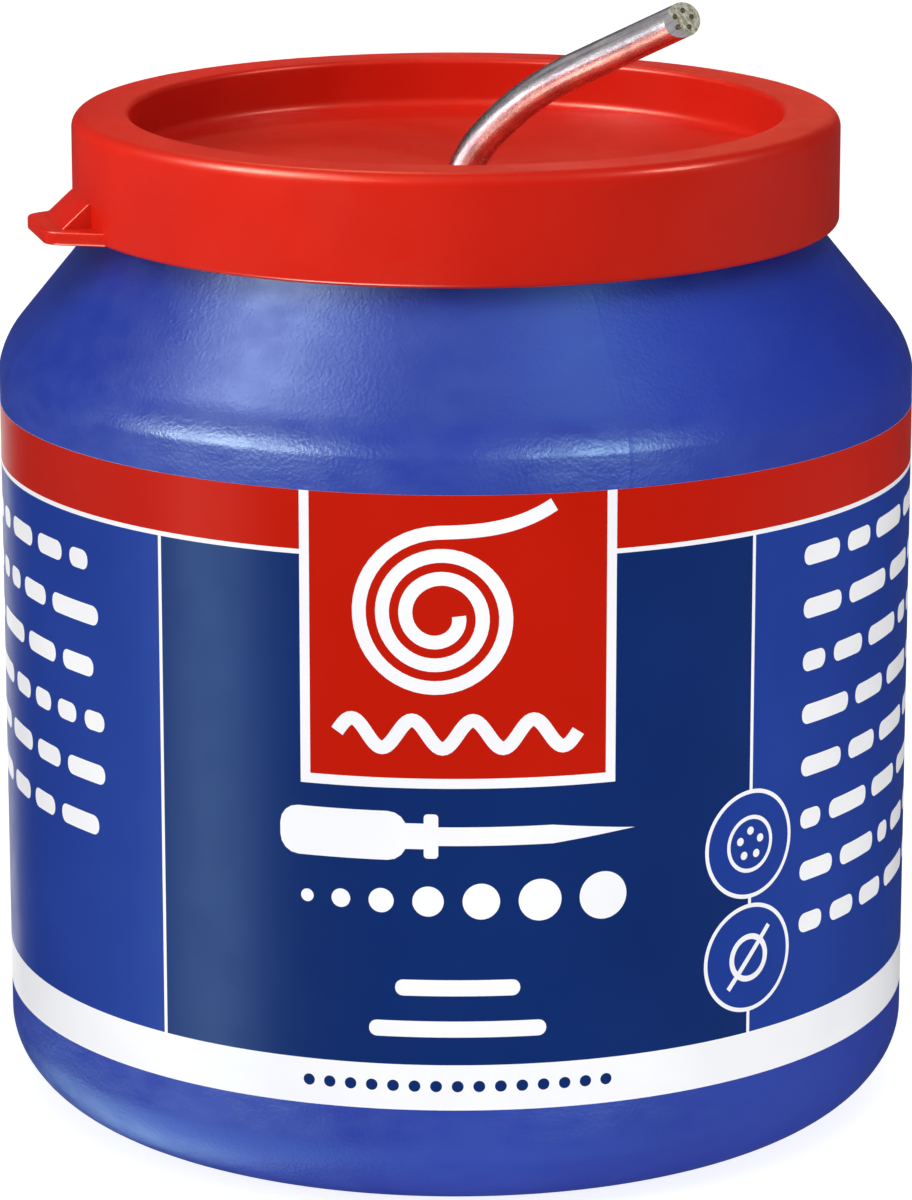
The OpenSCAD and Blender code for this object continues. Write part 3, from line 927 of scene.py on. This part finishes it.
def combine(piece, others, operation):
    """Adds other objects to a piece or takes them from it, and removes them."""
    for other in others:
        step = piece.modifiers.new("combine", "BOOLEAN")
        step.operation = operation
        step.solver = "EXACT"
        step.object = other
        apply_modifiers(piece)
        bpy.data.objects.remove(other)


def tab_place(x, y, z):
    """From out along the tab, sideways and up, to a point of the lid."""
    return turned((x, y, z), 180 + TAB_TURN)


def tab_place_upright(x, z, y):
    """The same for an outline that is drawn out along the tab and up."""
    return tab_place(x, y, z)


def tab_pieces():
    """The tab's plate and the wedge on it, both reaching into the skirt."""
    root, tip, corner_r, sink = SKIRT_IN_R + 0.5, LID_R + TAB_LEN, 1.9, 0.3
    top = LID_LOW + TAB_T
    plate = rounded([(root, -TAB_ROOT_W / 2), (tip, -TAB_TIP_W / 2, corner_r),
                     (tip, TAB_TIP_W / 2, corner_r), (root, TAB_ROOT_W / 2)], closed=True)
    wedge = [(root, top - sink), (LID_R + WEDGE_LEN + sink, top - sink), (LID_R + WEDGE_LEN, top),
             (LID_R - 0.05, top + WEDGE_H), (root, top + WEDGE_H)]
    yield bevelled("tab_plate", *prism(plate, LID_LOW, top, tab_place), 0.22)
    yield bevelled("tab_wedge", *prism(wedge, -WEDGE_W / 2, WEDGE_W / 2, tab_place_upright), 0.16)


def lid_outline():
    """Closed section of the lid, with a fillet at each of its edges."""
    under = FLOOR_EDGE - FLOOR_T
    corners = [(HOLE_R, FLOOR_MID, 0.3), (DISH_R, FLOOR_MID, 14), (RECESS_R, FLOOR_EDGE, 0.9),
               (RECESS_R, LID_TOP, 0.5), (LID_R, LID_TOP, 1.2), (LID_R, LID_LOW, 0.45),
               (SKIRT_IN_R, LID_LOW, 0.2)]
    corners += bead(SKIRT_IN_R, LID_LOW + SKIRT_BEAD_RISE, outwards=False)[::-1]
    corners += [(SKIRT_IN_R, MOUTH_Z, 0.3), (PLUG_R, MOUTH_Z, 0.2), (PLUG_R, under, 0.4),
                (RECESS_R, under), (DISH_R, FLOOR_MID - FLOOR_T, 14), (HOLE_R, FLOOR_MID - FLOOR_T, 0.2)]
    return rounded(corners, closed=True)


def lid_push(r, z, a):
    """Slight warp of the moulding outside its recess."""
    warp, waves, wave_h, keep_in = 0.04, 1.7, 12, 0.03
    if r < RECESS_R - 1:
        return r
    return r + warp * wavy(a, z, waves, wave_h) - keep_in


lid_shape = long_spans(lid_outline() + lid_outline()[:1], longest=2.5)[:-1]
lid_mesh = lathe("lid_moulding", lid_shape, even_angles(288), closed=True, push=lid_push)
lid = loose_object("lid_moulding", lid_mesh)
combine(lid, list(tab_pieces()), "UNION")
lid.data.materials.clear()
lid.data.materials.append(lid_plastic())
for polygon in lid.data.polygons:
    polygon.material_index = 0
dress(lid, "lid")
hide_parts("lid")


# ---------------------------------------------------------------- solder wire

BEYOND_CUT = 3                   # how far the uncut wire and the bores reach past the cut
JOIN_GAP = 0.02                  # between the faces of the riser and the free end, which turns on it


def bend(angle):
    """Point of the free end's bends, before it is turned to its lean."""
    low = min(angle, LOW_BEND)
    x = LOW_BEND_R * (1 - math.cos(math.radians(low)))
    z = LOW_BEND_R * math.sin(math.radians(low))
    if angle > LOW_BEND:
        x += HIGH_BEND_R * (math.cos(math.radians(LOW_BEND)) - math.cos(math.radians(angle)))
        z += HIGH_BEND_R * (math.sin(math.radians(angle)) - math.sin(math.radians(LOW_BEND)))
    return Vector((x, 0, z))


def end_frame(p):
    """From beside, above and along the straight run's start, to a point of the part."""
    a = math.radians(HIGH_BEND)
    along = Vector((math.sin(a), 0, math.cos(a)))
    beside, up = Vector((math.cos(a), 0, -math.sin(a))), Vector((0, 1, 0))
    return turned(bend(HIGH_BEND) + beside * p[0] + up * p[1] + along * p[2], -LEAN_TURN, BEND_START)


def free_end_path():
    """Upright start, both bends, and the straight run to beyond the cut."""
    run_rings = 40
    a = math.radians(HIGH_BEND)
    run = Vector((math.sin(a), 0, math.cos(a))) * (END_RUN + BEYOND_CUT)
    path = [(0, 0, -UPRIGHT), (0, 0, -UPRIGHT / 2)]
    path += [bend(angle) for angle in range(0, LOW_BEND, 2)]
    path += [bend(half / 2) for half in range(2 * LOW_BEND, 2 * HIGH_BEND)]
    path += [bend(HIGH_BEND) + run * i / run_rings for i in range(run_rings + 1)]
    return [turned(p, -LEAN_TURN, BEND_START) for p in path]


def cut_end(mesh, x, y, turn, tilt, material_index):
    """Cuts the run's end off through (x, y) of its section, on a face that is tilted towards turn."""
    a, t = math.radians(turn), math.radians(tilt)
    way = Vector((math.cos(a) * math.sin(t), math.sin(a) * math.sin(t), math.cos(t)))
    point = Vector(end_frame((x, y, END_RUN)))
    normal = Vector(end_frame(Vector((x, y, END_RUN)) + way)) - point
    b = bmesh.new()
    b.from_mesh(mesh)
    geometry = b.verts[:] + b.edges[:] + b.faces[:]
    cut = bmesh.ops.bisect_plane(b, geom=geometry, plane_co=point * MM, plane_no=normal,
                                 clear_outer=True, dist=1e-8)
    rim = [e for e in cut["geom_cut"] if isinstance(e, bmesh.types.BMEdge)]
    for face in bmesh.ops.contextual_create(b, geom=rim)["faces"]:
        face.material_index = material_index
    bmesh.ops.recalc_face_normals(b, faces=b.faces)
    b.to_mesh(mesh)
    b.free()


solder = solder_metal()
end_mesh = sweep("free_end_wire", free_end_path(), WIRE_R, 48, (0, 1, 0))
end_mesh.materials.append(solder)
end_mesh.materials.append(cut_metal())
cut_end(end_mesh, 0, 0, turn=-90, tilt=CUT_TILT, material_index=1)
nick_x, nick_y = spoke((0, 0), NICK_OFFSET, -NICK_TURN)
cut_end(end_mesh, nick_x, nick_y, turn=-NICK_TURN, tilt=NICK_TILT, material_index=0)
free_end = loose_object("free_end_wire", end_mesh)


def flux_bore(i):
    """Cutter for the bore of one flux core, a little wider than the core."""
    depth, clearance = 5.8, 0.01
    x, y = spoke((0, 0), FLUX_RING_R, 90 + 360 * i / FLUX_COUNT)
    path = [end_frame((x, y, END_RUN - depth)), end_frame((x, y, END_RUN + BEYOND_CUT))]
    mesh = sweep("bore", path, FLUX_D / 2 + clearance, 20, (0, 0, 1))
    mesh.materials.append(solder)
    return loose_object("bore", mesh)


combine(free_end, [flux_bore(i) for i in range(FLUX_COUNT)], "DIFFERENCE")
dress(free_end, "wire_free_end")
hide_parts("wire_free_end")

# The cores are shown as they are packed, in the rosin's material.
rosin = flux_rosin()
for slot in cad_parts["flux_cores"].material_slots:
    slot.link = "OBJECT"
    slot.material = rosin

riser_low, riser_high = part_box("wire_riser")[0].z / MM, BEND_START - UPRIGHT - JOIN_GAP
riser_rings = 30
riser_path = [(0, 0, riser_low + (riser_high - riser_low) * i / riser_rings)
              for i in range(riser_rings + 1)]
riser = add_piece("riser_wire", sweep("riser_wire", riser_path, WIRE_R, 32, (0, 1, 0)),
                  "wire_riser", [solder])
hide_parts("wire_riser")


def coil_r(turn):
    """Radius of the coil after a number of turns: out and in by turns, layer by layer."""
    done = turn % (2 * COIL_LOOPS)   # turns of this pair of layers
    if done <= COIL_LOOPS:
        return COIL_IN_R + done * COIL_PITCH
    return COIL_OUT_R - (done - COIL_LOOPS) * COIL_PITCH


def coil_z(turn):
    """Height of the coil after a number of turns: half a turn about each reversal climbs a layer."""
    height = COIL_LOW
    for layer in range(1, COIL_LAYERS):
        t = min(1, max(0, (turn - layer * COIL_LOOPS) * 2 + 0.5))
        height += COIL_PITCH * t * t * (3 - 2 * t)
    return height


def coil_path():
    """The loops, then the lead, which leaves the last one along the winding and ends straight up."""
    rings, lead_rings = 40, 40       # of one loop, of the lead
    turns = COIL_LAYERS * COIL_LOOPS
    path = []
    for i in range(turns * rings + 1):
        turn = i / rings
        a = 2 * math.pi * turn
        path.append((coil_r(turn) * math.cos(a), coil_r(turn) * math.sin(a), coil_z(turn)))
    top = coil_z(turns)
    draw = COIL_PITCH * LEAD_TURNS / COIL_IN_R
    for i in range(1, lead_rings + 1):
        t = i / lead_rings
        r = COIL_IN_R * (1 - t) ** 2 * (1 + (2 - draw) * t)
        a = 2 * math.pi * LEAD_TURNS * t
        path.append((r * math.cos(a), r * math.sin(a), top + LEAD_RISE * t * t * (2 - t)))
    return path + [(0, 0, riser_low)]


coil = add_piece("coil_wire", sweep("coil_wire", coil_path(), WIRE_R, 14, (0, 0, 1)),
                 "jar", [solder])
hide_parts("solder_coil", "wire_lead")


# ---------------------------------------------------------------- floor

def floor():
    """A plain floor just under the jar, which doesn't show in the pieces' reflections."""
    half, drop = 2.5, 0.0001
    mesh = bpy.data.meshes.new("floor")
    corners = [(-half, -half, -drop), (half, -half, -drop), (half, half, -drop), (-half, half, -drop)]
    mesh.from_pydata(corners, [], [(0, 1, 2, 3)])
    mesh.materials.append(floor_paper())
    made = loose_object("floor", mesh)
    made.visible_glossy = False


floor()

# Each of these lights reaches only its own pieces, and only they cast shadows in it.
for light, names in LIT.items():
    pieces = bpy.data.collections.new(light.name + "_lights")
    for name in names:
        pieces.objects.link(bpy.data.objects[name])
    light.light_linking.receiver_collection = pieces
    light.light_linking.blocker_collection = pieces
